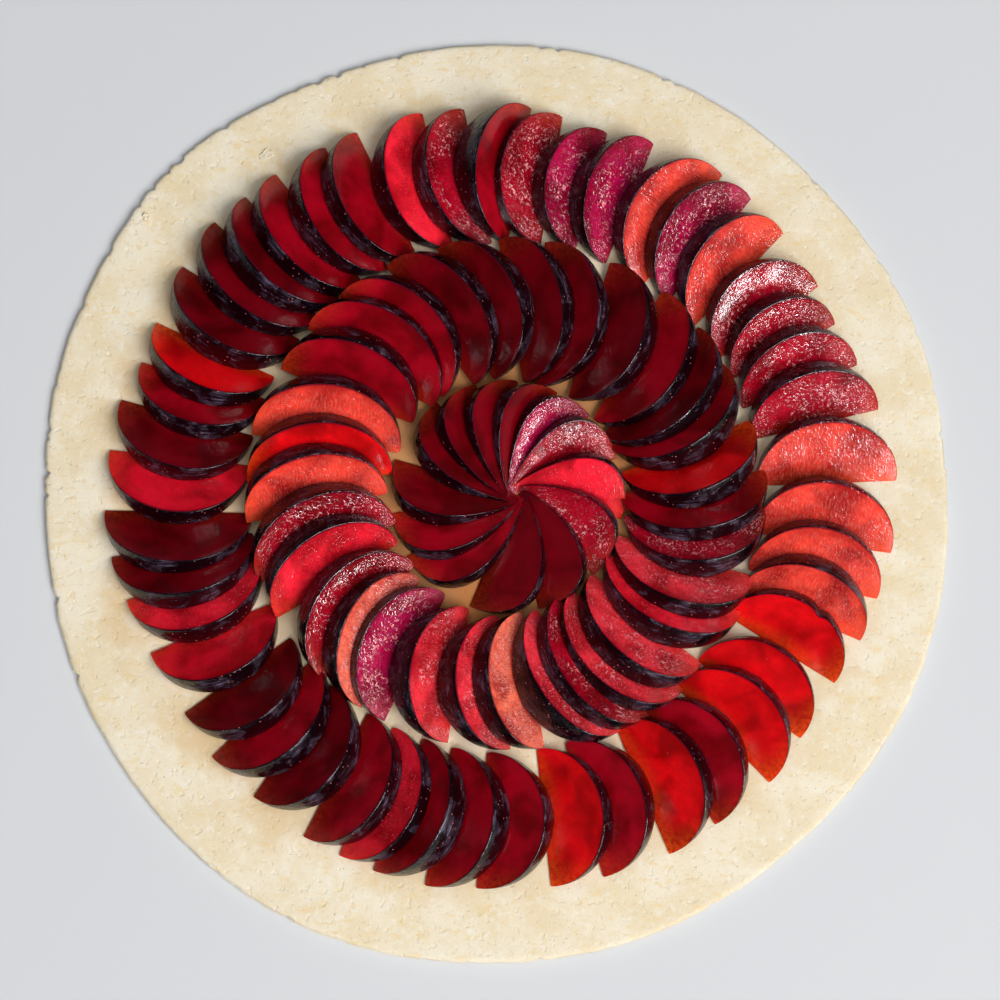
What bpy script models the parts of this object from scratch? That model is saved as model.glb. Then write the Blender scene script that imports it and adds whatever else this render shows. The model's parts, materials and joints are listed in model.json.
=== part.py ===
"""A plum galette laid out flat, before its rim is folded: a rolled disc of raw dough and ninety plum slices.

The slices lie like roof tiles in an outer ring, a middle ring laid the other way round, and a rosette. Each is
a wedge of a stoned plum that lies on its thin inner edge and leans on the cut face of the one laid before it.
"""

import math
import random

import bmesh
import bpy
from mathutils import Matrix, Vector

MM = 0.001
CLOCKWISE = -1
ANTICLOCKWISE = 1

# Dough: a rolled disc with a torn, slightly out-of-round edge, and a flat underside.
DOUGH_RADIUS = 169.0 * MM
DOUGH_THICKNESS = 3.6 * MM
EDGE_ROUNDING = 1.1 * MM
RIM_BAND = 20.0 * MM
RIM_WAVE = 0.35 * MM
EDGE_TEAR = 0.35 * MM
DOUGH_SEGMENTS = 120
# Where the rolling pin pushed the edge out: direction, how far, and half the width of the bulge.
ROLLED_BULGES = (
    (math.radians(2), -1.0 * MM, math.radians(9)),
    (math.radians(24), 1.0 * MM, math.radians(11)),
    (math.radians(75), 2.8 * MM, math.radians(32)),
    (math.radians(134), 3.6 * MM, math.radians(14)),
    (math.radians(184), -2.5 * MM, math.radians(16)),
    (math.radians(246), 4.4 * MM, math.radians(26)),
    (math.radians(285), 1.5 * MM, math.radians(16)),
    (math.radians(332), 0.9 * MM, math.radians(12)),
)

# One plum slice: a wedge of a half plum, cut beside the stone. Its core is shorter than the fruit is.
PLUM_RADIUS = 25.8 * MM
PLUM_DEPTH = 28.4 * MM
CORE_WIDTH = 1.6 * MM
CORE_SHARE = 0.88
TIP_WIDTH = 4.2 * MM
WEDGE_ANGLE = math.radians(27)
WEDGE_SPREAD = math.radians(2.6)
LENGTH_STEPS = 10
SKIN_STEPS = 2
OUTLINE_POWER = 1.08

# How the slices lie.
CONTACT_GAP = 0.3 * MM
PRESSED_IN = 0.25 * MM
SAG = 0.8
STEEPEST_REST = math.radians(16.5)
# Steps from one slice to the next, against an even step. The slices not named below lie neatly.
NEAT_STEP = 0.95
NEAT_SPREAD = 0.04
UNEVEN_STEPS = {"close": 0.76, "wide": 1.22, "gap": 1.38}
REST_ROUNDS = 6

# The outer and middle rings, from the first slice laid. A lean turns the outer tip anticlockwise.
# Smaller slices lie further in: direction, how far the ring's edge goes in, and half the width of the stretch.
OUTER_RING = {
    "name": "outer",
    "centre": Vector((1.1 * MM, 0.2 * MM, 0)),
    "slices": 46,
    "laid": CLOCKWISE,
    "first": math.radians(101.0),
    "radius": 121.0 * MM,
    "lean": math.radians(1.5),
    "close": (2, 6, 9, 15, 26, 27, 33, 34, 38, 41, 42, 44),
    "wide": (8, 19, 28, 31, 32, 35, 39, 45),
    "gap": (5, 12, 13, 17, 21, 23),
    "smaller": (
        (math.radians(-34), -6.0 * MM, math.radians(18)),
        (math.radians(24), -6.0 * MM, math.radians(13)),
        (math.radians(72), -4.0 * MM, math.radians(8)),
        (math.radians(155), -4.5 * MM, math.radians(10)),
        (math.radians(-152), -4.5 * MM, math.radians(16)),
    ),
    "pairs": 23,
}
MIDDLE_RING = {
    "name": "middle",
    "centre": Vector((1.5 * MM, -1.8 * MM, 0)),
    "slices": 31,
    "laid": ANTICLOCKWISE,
    "first": math.radians(-152.2),
    "radius": 68.2 * MM,
    "lean": math.radians(6),
    "close": (1, 2, 5, 7, 8, 9, 11, 13, 16, 20, 24, 28, 30),
    "wide": (3, 4, 6, 10, 12, 15, 18, 21, 23, 29),
    "gap": (0, 19, 26),
    "smaller": (),
    "pairs": 8,
}
RING_LEAN_SPREAD = math.radians(3.2)
RING_RADIUS_SPREAD = 0.5 * MM
SHIFT_SHARE = 0.4

# The rosette: its slices start at one point, a little right of the middle, and reach a round outline.
ROSETTE = {
    "name": "rosette",
    "slices": 13,
    "laid": CLOCKWISE,
    "first": math.radians(47),
    "close": (6, 9, 10, 11, 12),
    "wide": (1, 2, 3, 4, 8),
    "gap": (5,),
}
ROSETTE_CENTRE = Vector((1.8 * MM, -1.6 * MM, 0))
ROSETTE_MEETING = Vector((3.4 * MM, 0.4 * MM, 0))
ROSETTE_REACH = 42.4 * MM
ROSETTE_TIP = 0.4 * MM
ROSETTE_WIDTH = 21.5 * MM
ROSETTE_TIP_WIDTH = 1.3 * MM
ROSETTE_POWER = 1.4
ROSETTE_PINCH = 0.42
ROSETTE_WEDGE = math.radians(20)
ROSETTE_OVERLAPS = 3

SHARP_EDGE = math.radians(30)
DOUGH_COLOUR = (0.80, 0.66, 0.43, 1)
PLUM_COLOUR = (0.30, 0.008, 0.018, 1)


def clear_scene():
    for obj in list(bpy.data.objects):
        bpy.data.objects.remove(obj)


def plain_material(name, colour, roughness):
    material = bpy.data.materials.new(name)
    material.use_nodes = True
    shader = material.node_tree.nodes["Principled BSDF"]
    shader.inputs["Base Color"].default_value = colour
    shader.inputs["Roughness"].default_value = roughness
    shader.inputs["Metallic"].default_value = 0.0
    return material


def fill_mesh(mesh, bm):
    """Moves a bmesh into a mesh, shaded smooth except at its sharp edges."""
    bmesh.ops.recalc_face_normals(bm, faces=bm.faces)
    for face in bm.faces:
        face.smooth = True
    for edge in bm.edges:
        edge.smooth = edge.calc_face_angle(0) < SHARP_EDGE
    bm.to_mesh(mesh)
    bm.free()


def add_object(name, bm, material):
    mesh = bpy.data.meshes.new(name)
    fill_mesh(mesh, bm)
    mesh.materials.append(material)
    obj = bpy.data.objects.new(name, mesh)
    bpy.context.scene.collection.objects.link(obj)
    return obj


# Dough disc.


def angle_between(a, b):
    return abs((a - b + math.pi) % math.tau - math.pi)


def pushed_out(angle, bulges):
    """How far a round edge is pushed out in one direction by its bulges."""
    return sum(
        push * math.exp(-((angle_between(angle, direction) / half_width) ** 2))
        for direction, push, half_width in bulges
    )


def add_dough(material):
    rng = random.Random(7)
    directions = [math.tau * i / DOUGH_SEGMENTS for i in range(DOUGH_SEGMENTS)]
    edge = [
        DOUGH_RADIUS + pushed_out(angle, ROLLED_BULGES) + rng.uniform(-EDGE_TEAR, EDGE_TEAR)
        for angle in directions
    ]
    across = [radius * math.cos(angle) for radius, angle in zip(edge, directions)]
    along = [radius * math.sin(angle) for radius, angle in zip(edge, directions)]
    middle = Vector((max(across) + min(across), max(along) + min(along), 0)) / 2
    bm = bmesh.new()

    def ring(inset, height, wave):
        points = []
        for radius, angle in zip(edge, directions):
            ripple = math.sin(9 * angle + 1.0) + 0.6 * math.sin(17 * angle)
            out = radius - inset
            spot = Vector((out * math.cos(angle), out * math.sin(angle), height))
            spot.z -= wave * (1 + 0.5 * ripple)
            points.append(bm.verts.new(spot - middle))
        return points

    rings = [
        ring(EDGE_ROUNDING, 0, 0),
        ring(0, EDGE_ROUNDING, 0),
        ring(EDGE_ROUNDING, DOUGH_THICKNESS, RIM_WAVE),
        ring(RIM_BAND, DOUGH_THICKNESS, 0),
    ]
    for lower, upper in zip(rings, rings[1:]):
        for i in range(DOUGH_SEGMENTS):
            j = (i + 1) % DOUGH_SEGMENTS
            bm.faces.new((lower[i], lower[j], upper[j], upper[i]))
    bm.faces.new(rings[0])
    bm.faces.new(rings[-1])
    return add_object("dough_disc", bm, material)


# Plum slices.


def between(inner, outer, turn):
    """A size that goes from its value at the inner tip to the one at the outer tip."""
    return inner + (outer - inner) * (1 - math.cos(turn)) / 2


class Slice:
    """One wedge: its core runs from a thin tip to the other, its cut faces fan out from the core to the skin."""

    def __init__(self, centre, heading, skin_side, half_length, width, wedge):
        self.centre = centre
        self.heading = heading
        self.skin_side = skin_side
        self.half_length = half_length
        self.width = width
        self.wedge = wedge
        self.rest = 0
        self.inner_tip_width = TIP_WIDTH
        self.inner_core_share = CORE_SHARE
        self.inner_power = OUTLINE_POWER
        self.pinch = 0

    def place(self):
        """The slice's own frame: X along the core, Y towards the skin, Z up, its thin edge just above the dough."""
        along = Vector((math.cos(self.heading), math.sin(self.heading), 0))
        to_skin = Vector((-along.y, along.x, 0)) * self.skin_side
        lowest = CORE_WIDTH * math.sin(self.rest)
        height = DOUGH_THICKNESS + CONTACT_GAP - lowest
        frame = Matrix((along, to_skin, Vector((0, 0, 1)))).transposed().to_4x4()
        return Matrix.Translation(self.centre + Vector((0, 0, height))) @ frame

    def top_plane(self):
        """A point on the upper cut face, and the face's upward normal."""
        frame = self.place()
        tilt = self.rest + self.wedge
        normal = frame.to_3x3() @ Vector((0, -math.sin(tilt), math.cos(tilt)))
        return frame.translation, normal

    def reach(self, turn):
        """Distance from core to skin, half a turn taking it from the inner tip to the outer one."""
        tip = CORE_WIDTH + between(self.inner_tip_width, TIP_WIDTH, turn)
        power = between(self.inner_power, OUTLINE_POWER, turn)
        swell = max(math.sin(turn), 0) ** power * (1 - self.pinch * math.cos(turn))
        return tip + (self.width - tip) * swell

    def section(self, turn):
        """Corners across the slice: the core's lower edge, the skin from bottom to top, the core's upper edge."""
        along = -self.half_length * math.cos(turn)
        reach = self.reach(turn)
        core = along * between(self.inner_core_share, CORE_SHARE, turn)
        corners = [(core, CORE_WIDTH, self.rest)]
        for step in range(SKIN_STEPS + 1):
            corners.append((along, reach, self.rest + self.wedge * step / SKIN_STEPS))
        corners.append((core, CORE_WIDTH, self.rest + self.wedge))
        return [Vector((x, out * math.cos(tilt), out * math.sin(tilt))) for x, out, tilt in corners]

    def mesh(self):
        bm = bmesh.new()
        frame = self.place()
        sections = []
        for i in range(LENGTH_STEPS + 1):
            corners = self.section(math.pi * i / LENGTH_STEPS)
            sections.append([bm.verts.new(frame @ corner) for corner in corners])
        for near, far in zip(sections, sections[1:]):
            for j in range(len(near)):
                k = (j + 1) % len(near)
                bm.faces.new((near[j], near[k], far[k], far[j]))
        bm.faces.new(sections[0])
        bm.faces.new(sections[-1])
        return bm


def cut_above(bm, point, normal, gap):
    """Removes what lies under a plane raised by the gap, and closes the cut."""
    cut = bmesh.ops.bisect_plane(
        bm,
        geom=bm.verts[:] + bm.edges[:] + bm.faces[:],
        dist=0.00001,
        plane_co=point + normal * gap,
        plane_no=normal,
        clear_inner=True,
    )
    edges = [item for item in cut["geom_cut"] if isinstance(item, bmesh.types.BMEdge)]
    if edges:
        bmesh.ops.holes_fill(bm, edges=edges)


def steps_round(ring, rng):
    """The angle from each slice of a ring to the next, uneven as laid by hand, adding up to one turn."""
    weights = []
    for i in range(ring["slices"]):
        weight = NEAT_STEP + rng.uniform(-NEAT_SPREAD, NEAT_SPREAD)
        for kind, step in UNEVEN_STEPS.items():
            if i in ring[kind]:
                weight = step
        weights.append(weight)
    return [math.tau * weight / sum(weights) for weight in weights]


def settle(slices, arcs):
    """Leans each slice on the cut face of the one before it: the closer they lie, the steeper they stand."""
    for _ in range(REST_ROUNDS):
        for i, piece in enumerate(slices):
            below = slices[i - 1]
            overlap = max(0, piece.width - arcs[i - 1])
            support = overlap * math.tan(below.rest + below.wedge)
            piece.rest = min(SAG * math.atan(support / piece.width), STEEPEST_REST)


def ring_slices(ring, rng):
    steps = steps_round(ring, rng)
    angle = ring["first"]
    slices = []
    for step in steps:
        inward = pushed_out(angle, ring["smaller"])
        radius = ring["radius"] + rng.uniform(-RING_RADIUS_SPREAD, RING_RADIUS_SPREAD) + SHIFT_SHARE * inward
        centre = ring["centre"] + Vector((radius * math.cos(angle), radius * math.sin(angle), 0))
        heading = angle + rng.gauss(ring["lean"], RING_LEAN_SPREAD)
        length = PLUM_RADIUS - rng.uniform(0, 1.6 * MM) + (1 - SHIFT_SHARE) * inward
        width = PLUM_DEPTH - rng.uniform(0, 1.5 * MM) + (1 - SHIFT_SHARE) * inward
        wedge = rng.gauss(WEDGE_ANGLE, WEDGE_SPREAD)
        slices.append(Slice(centre, heading, -ring["laid"], length, width, wedge))
        angle += ring["laid"] * step
    settle(slices, [step * ring["radius"] for step in steps])
    return slices


def rosette_slices(ring, rng):
    steps = steps_round(ring, rng)
    meeting = ROSETTE_CENTRE + ROSETTE_MEETING
    heading = ring["first"]
    slices = []
    for step in steps:
        along = Vector((math.cos(heading), math.sin(heading), 0))
        aside = along.dot(ROSETTE_MEETING)
        spread = ROSETTE_REACH**2 - ROSETTE_MEETING.length_squared
        reach = math.sqrt(aside**2 + spread) - aside
        half = (reach - ROSETTE_TIP) / 2
        centre = meeting + along * (ROSETTE_TIP + half)
        width = ROSETTE_WIDTH + rng.uniform(-1, 1) * MM
        wedge = rng.gauss(ROSETTE_WEDGE, WEDGE_SPREAD)
        piece = Slice(centre, heading, -ring["laid"], half, width, wedge)
        piece.inner_tip_width = ROSETTE_TIP_WIDTH
        piece.inner_core_share = 1
        piece.inner_power = ROSETTE_POWER
        piece.pinch = ROSETTE_PINCH
        slices.append(piece)
        heading += ring["laid"] * step
    settle(slices, [step * ROSETTE_REACH / 2 for step in steps])
    return slices


def trimmed_mesh(slices, i, overlaps, gap):
    """The mesh of slice i, cut away where the slices laid before it lie under it."""
    bm = slices[i].mesh()
    for back in range(1, overlaps + 1):
        point, normal = slices[i - back].top_plane()
        cut_above(bm, point, normal, gap if back == 1 else CONTACT_GAP)
    return bm


def union(first, second):
    """Joins two overlapping objects into the first."""
    join = first.modifiers.new("join", "BOOLEAN")
    join.operation = "UNION"
    join.solver = "EXACT"
    join.object = second
    graph = bpy.context.evaluated_depsgraph_get()
    bm = bmesh.new()
    bm.from_object(first, graph)
    first.modifiers.remove(join)
    fill_mesh(first.data, bm)
    bpy.data.objects.remove(second)


def add_slices(name, slices, pairs, overlaps, material):
    """Adds a ring's slices as objects. The first pairs of neighbours press into each other and become one."""
    for i in range(len(slices)):
        second_of_pair = i % 2 == 1 and i < 2 * pairs
        gap = -PRESSED_IN if second_of_pair else CONTACT_GAP
        bm = trimmed_mesh(slices, i, overlaps, gap)
        if second_of_pair:
            union(first, add_object("joining", bm, material))
        else:
            label = f"{name}_{i + 1:02d}_{i + 2:02d}" if i < 2 * pairs else f"{name}_{i + 1:02d}"
            first = add_object(label, bm, material)


clear_scene()
dough_material = plain_material("raw_dough", DOUGH_COLOUR, 0.75)
plum_material = plain_material("cut_plum", PLUM_COLOUR, 0.25)
add_dough(dough_material)
for number, ring in enumerate((OUTER_RING, MIDDLE_RING)):
    laid = ring_slices(ring, random.Random(21 + number))
    add_slices("slice_" + ring["name"], laid, ring["pairs"], 1, plum_material)
add_slices("slice_rosette", rosette_slices(ROSETTE, random.Random(23)), 0, ROSETTE_OVERLAPS, plum_material)
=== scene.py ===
"""A plum galette laid out flat, before its rim is folded: rolled raw dough under rings of cut plum slices."""

import json
import math
import random

import bmesh
import bpy
from mathutils import Matrix, Vector, noise

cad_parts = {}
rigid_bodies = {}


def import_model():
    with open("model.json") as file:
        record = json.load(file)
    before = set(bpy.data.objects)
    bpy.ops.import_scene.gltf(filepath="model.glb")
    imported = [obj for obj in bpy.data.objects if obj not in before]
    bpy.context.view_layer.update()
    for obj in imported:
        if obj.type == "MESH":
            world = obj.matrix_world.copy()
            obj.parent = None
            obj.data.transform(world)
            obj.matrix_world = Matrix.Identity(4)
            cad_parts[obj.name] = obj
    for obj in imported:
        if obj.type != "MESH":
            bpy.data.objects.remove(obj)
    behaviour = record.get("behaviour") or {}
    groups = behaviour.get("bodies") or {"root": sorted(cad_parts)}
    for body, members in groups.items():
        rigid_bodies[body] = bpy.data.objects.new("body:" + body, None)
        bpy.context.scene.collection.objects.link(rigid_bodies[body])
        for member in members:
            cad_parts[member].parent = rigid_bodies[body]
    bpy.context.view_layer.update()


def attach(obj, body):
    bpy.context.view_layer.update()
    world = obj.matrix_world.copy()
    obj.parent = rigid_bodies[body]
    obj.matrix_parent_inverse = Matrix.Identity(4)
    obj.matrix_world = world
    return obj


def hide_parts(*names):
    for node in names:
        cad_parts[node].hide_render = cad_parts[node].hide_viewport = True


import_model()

# --------------------------------------------------
# The dough disc: raw shortcrust of flour and butter, rolled out with a pin to 3.6 mm and left untrimmed.
# Its edge is rounded and slightly torn, and its top keeps flour, yellow flecks of butter and small pits.
# --------------------------------------------------

MM = 0.001
DOUGH_RADIUS = 169.0 * MM
DOUGH_THICKNESS = 3.6 * MM
# The rim was rolled a little uneven, in waves that fade inwards over its band.
RIM_BAND = 20.0 * MM
RIM_WAVE = 0.35 * MM
LONG_WAVES = 9
SHORT_WAVES = 17
SHORT_WAVE_SHARE = 0.6
# Where the rolling pin pushed the edge out: direction in degrees, how far in mm, and half width in degrees.
ROLLED_BULGES = (
    (2, -1.0, 9),
    (24, 1.0, 11),
    (75, 2.8, 32),
    (134, 3.6, 14),
    (184, -2.5, 16),
    (246, 4.4, 26),
    (285, 1.5, 16),
    (332, 0.9, 12),
)
DOUGH_COLUMNS = 900
# The section of the disc, from the middle of the underside round the lip, in millimetres: how far in from the
# edge, and how high.
DOUGH_SECTION = (
    (90.0, 0.0),
    (30.0, 0.0),
    (6.0, 0.0),
    (1.5, 0.0),
    (0.9, 0.12),
    (0.4, 0.45),
    (0.1, 1.0),
    (0.0, 1.6),
    (0.05, 2.2),
    (0.25, 2.7),
    (0.6, 3.1),
    (1.1, 3.38),
    (1.7, 3.52),
    (2.4, 3.6),
)
# The rings of points on the top: even steps on the open rim, and growing ones in under the fruit.
SURFACE_STEP = 1.1 * MM
OPEN_RIM = 34.0 * MM
STEP_GROWTH = 1.09
LAST_STEP = 150 * MM
# Short cracks in the edge, most on the far left side: directions and half widths in degrees, depths in mm.
DOUGH_SEED = 11
CRACKS = 70
CRACK_DIRECTION = 120
CRACK_DIRECTION_SPREAD = 75
CRACK_DEPTHS = (0.3, 1.5)
CRACK_HALF_WIDTHS = (0.12, 0.4)
# A crack ends this many half widths from its middle.
CRACK_ENDS = 3
TEAR_REACH = 2.5 * MM
# Creases in the edge and ripples on the top: how deep in mm, how fine, and where in the noise each starts.
EDGE_INSET = 0.35 * MM
EDGE_CREASES = (
    (0.30, 16, Vector((0, 0, 0))),
    (0.22, 48, Vector((0, 0, 5))),
)
TOP_RIPPLES = (
    (0.16, 38, Vector((0, 0, 0))),
    (0.07, 130, Vector((3, 0, 0))),
    (0.05, 420, Vector((0, 7, 0))),
)
# How far from the middle the dough starts to get painted shade with reddish bounce light between the plums,
# and a painted shadow beside the outer ring, and where each is full.
GAP_SHADE_REACH = (98 * MM, 56 * MM)
PAINTED_SHADOW_REACH = (164 * MM, 142 * MM)
SHADE_WANDER = 14 * MM
# The painted shadow is full on the left, away from the light, from this place on, and this share of it is
# left on the right.
PAINTED_SHADOW_FULL_AT = -120 * MM
RIGHT_PAINTED_SHADOW = 0.35
FLOURY = (0.83, 0.70, 0.48, 1)
CREAMY = (0.88, 0.79, 0.62, 1)
BUTTER = (0.84, 0.64, 0.33, 1)
BUTTER_SHARE = 0.6
FLOUR = (0.92, 0.88, 0.78, 1)
FLOUR_SHARE = 0.55
DOUGH_SHADE = (0.62, 0.46, 0.27, 1)
SHADE_SHARE = 0.35
BRAN = (0.34, 0.22, 0.12, 1)
BRAN_SHARE = 0.6
# A reddish amber painted into the dough's middle as the shade and red bounce light between the plums.
PAINTED_GAP_SHADE = (0.52, 0.20, 0.065, 1)
# A warm tan painted beside the plums as their shadow.
PAINTED_SHADOW_TAN = (0.70, 0.47, 0.23, 1)
PAINTED_SHADOW_SHARE = 0.6
GRAIN_SHARE = 0.35


class Field:
    """A number or vector in a node tree, which is added, multiplied and so on like a plain number."""

    def __init__(self, tree, socket):
        self.tree = tree
        self.socket = socket

    def calculate(self, operation, *others):
        node = self.tree.nodes.new("ShaderNodeMath")
        node.operation = operation
        for place, value in zip(node.inputs, (self, *others)):
            feed(self.tree, place, value)
        return Field(self.tree, node.outputs[0])

    def __add__(self, other):
        return self.calculate("ADD", other)

    def __sub__(self, other):
        return self.calculate("SUBTRACT", other)

    def __rsub__(self, other):
        return (self * -1) + other

    def __mul__(self, other):
        return self.calculate("MULTIPLY", other)

    def __truediv__(self, other):
        return self.calculate("DIVIDE", other)

    def __pow__(self, other):
        return self.calculate("POWER", other)

    __radd__ = __add__
    __rmul__ = __mul__

    def at_least(self, least):
        """A share of 0 to 1, drawn in to run from the least value to 1."""
        return least + (1 - least) * self

    def between(self, low, high):
        """0 below the low value, 1 above the high one, and smooth in between."""
        return node_field(
            self.tree,
            "ShaderNodeMapRange",
            {"Value": self, "From Min": low, "From Max": high},
            interpolation_type="SMOOTHSTEP",
        )


def feed(tree, socket, value):
    if isinstance(value, Field):
        tree.links.new(value.socket, socket)
    else:
        socket.default_value = value


def shown_socket(sockets, key):
    """The socket of that name, or the first one, among those in use for the node's settings."""
    in_use = [socket for socket in sockets if socket.enabled]
    return next(socket for socket in in_use if key in (None, socket.name))


def add_node(tree, kind, values=None, **settings):
    node = tree.nodes.new(kind)
    for name, value in settings.items():
        setattr(node, name, value)
    for name, value in (values or {}).items():
        feed(tree, shown_socket(node.inputs, name), value)
    return node


def node_field(tree, kind, values=None, output=None, **settings):
    node = add_node(tree, kind, values, **settings)
    return Field(tree, shown_socket(node.outputs, output))


def noise_field(tree, spot, scale, detail=2.0, rough=0.5, twist=0.0):
    values = {"Vector": spot, "Scale": scale, "Detail": detail, "Roughness": rough, "Distortion": twist}
    return node_field(tree, "ShaderNodeTexNoise", values)


def parted(tree, vector, axes="XYZ"):
    """A vector's numbers along the axes named."""
    return [node_field(tree, "ShaderNodeSeparateXYZ", {"Vector": vector}, output=axis) for axis in axes]


def vector_of(tree, **values):
    """A vector of the numbers along the axes named."""
    return node_field(tree, "ShaderNodeCombineXYZ", values)


def blended(tree, share, first, second, blend_type="MIX"):
    """A colour between two others."""
    values = {"Factor": share, "A": first, "B": second}
    return node_field(tree, "ShaderNodeMix", values, data_type="RGBA", blend_type=blend_type)


def stretched(tree, spot, scale, turn=0.0):
    values = {"Vector": spot, "Rotation": (0, 0, turn), "Scale": scale}
    return node_field(tree, "ShaderNodeMapping", values)


def new_material(name):
    """A material with its node tree, its shader and the field of object coordinates."""
    material = bpy.data.materials.new(name)
    material.use_nodes = True
    tree = material.node_tree
    spot = node_field(tree, "ShaderNodeTexCoord", output="Object")
    return material, tree, tree.nodes["Principled BSDF"], spot


def set_shader(shader, **values):
    """Sets or feeds the shader's sockets, which are named here with underscores."""
    for name, value in values.items():
        feed(shader.id_data, shader.inputs[name.replace("_", " ")], value)


def bumped(tree, height, distance, strength):
    values = {"Height": height, "Distance": distance, "Strength": strength}
    return node_field(tree, "ShaderNodeBump", values)


def place_piece(piece, slot, *nodes):
    """The piece rides on the one body and stands for its CAD nodes. The slot is not used."""
    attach(piece, "root")
    if nodes:
        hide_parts(*nodes)


def add_piece(name, mesh):
    piece = bpy.data.objects.new(name, mesh)
    bpy.context.scene.collection.objects.link(piece)
    return piece


def angle_between(a, b):
    return abs((a - b + math.pi) % math.tau - math.pi)


def pushed_out(angle, bulges):
    """How far a round edge is pushed out in one direction by its bulges."""
    out = 0
    for direction, push, half_width in bulges:
        away = angle_between(angle, math.radians(direction)) / math.radians(half_width)
        out += push * MM * math.exp(-(away**2))
    return out


def dough_cracks(rng):
    """The cracks' directions, depths and half widths."""
    cracks = []
    for _ in range(CRACKS):
        direction = math.radians(rng.gauss(CRACK_DIRECTION, CRACK_DIRECTION_SPREAD))
        depth = rng.uniform(*CRACK_DEPTHS) * MM
        cracks.append((direction, depth, math.radians(rng.uniform(*CRACK_HALF_WIDTHS))))
    return cracks


def torn_inset(angle, cracks):
    """How far tears, creases and cracks pull the edge in, in one direction."""
    spot = Vector((math.cos(angle), math.sin(angle), 0))
    inset = EDGE_INSET
    for depth, fineness, start in EDGE_CREASES:
        inset += depth * MM * noise.noise(spot * fineness + start)
    for direction, depth, half_width in cracks:
        away = angle_between(angle, direction) / half_width
        if away < CRACK_ENDS:
            inset += depth * math.exp(-(away**2))
    return max(inset, 0)


def surface_dip(spot):
    """How far the rolled top lies below its full thickness."""
    dip = 0
    for depth, fineness, start in TOP_RIPPLES:
        dip += depth * MM * (1 + noise.noise(spot * fineness + start))
    return dip


def shell_of(bm, rings):
    """Joins rings of points in order, and closes the first and the last to their middles."""
    for lower, upper in zip(rings, rings[1:]):
        for i in range(len(lower)):
            j = (i + 1) % len(lower)
            bm.faces.new((lower[i], lower[j], upper[j], upper[i]))
    for ring in (rings[0], rings[-1]):
        centre = bm.verts.new(sum((corner.co for corner in ring), Vector()) / len(ring))
        for i, corner in enumerate(ring):
            bm.faces.new((ring[i - 1], corner, centre))


def closed_mesh(bm, name):
    """A mesh of the closed shells, facing outwards."""
    bmesh.ops.recalc_face_normals(bm, faces=bm.faces)
    mesh = bpy.data.meshes.new(name)
    bm.to_mesh(mesh)
    bm.free()
    return mesh


def dough_mesh():
    cracks = dough_cracks(random.Random(DOUGH_SEED))
    directions = [math.tau * i / DOUGH_COLUMNS for i in range(DOUGH_COLUMNS)]
    whole = [DOUGH_RADIUS + pushed_out(angle, ROLLED_BULGES) for angle in directions]
    across = [radius * math.cos(angle) for radius, angle in zip(whole, directions)]
    along = [radius * math.sin(angle) for radius, angle in zip(whole, directions)]
    middle = Vector((max(across) + min(across), max(along) + min(along), 0)) / 2
    section = [(inset * MM, height * MM) for inset, height in DOUGH_SECTION]
    inset = section[-1][0]
    while inset < OPEN_RIM:
        inset += SURFACE_STEP
        section.append((inset, DOUGH_THICKNESS))
    while inset < LAST_STEP:
        inset *= STEP_GROWTH
        section.append((inset, DOUGH_THICKNESS))
    bm = bmesh.new()
    rings = []
    for inset, height in section:
        ring = []
        for angle, radius in zip(directions, whole):
            edge = radius - torn_inset(angle, cracks) * math.exp(-inset / TEAR_REACH)
            out = edge - inset
            spot = Vector((out * math.cos(angle), out * math.sin(angle), height))
            if height > DOUGH_THICKNESS / 2:
                wave = math.sin(LONG_WAVES * angle + 1) + SHORT_WAVE_SHARE * math.sin(SHORT_WAVES * angle)
                fall = RIM_WAVE * (1 + wave / 2) * max(0, 1 - inset / RIM_BAND)
                spot.z -= fall + surface_dip(spot)
            ring.append(bm.verts.new(spot - middle))
        rings.append(ring)
    shell_of(bm, rings)
    mesh = closed_mesh(bm, "dough_disc_rolled")
    mesh.shade_smooth()
    return mesh


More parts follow.
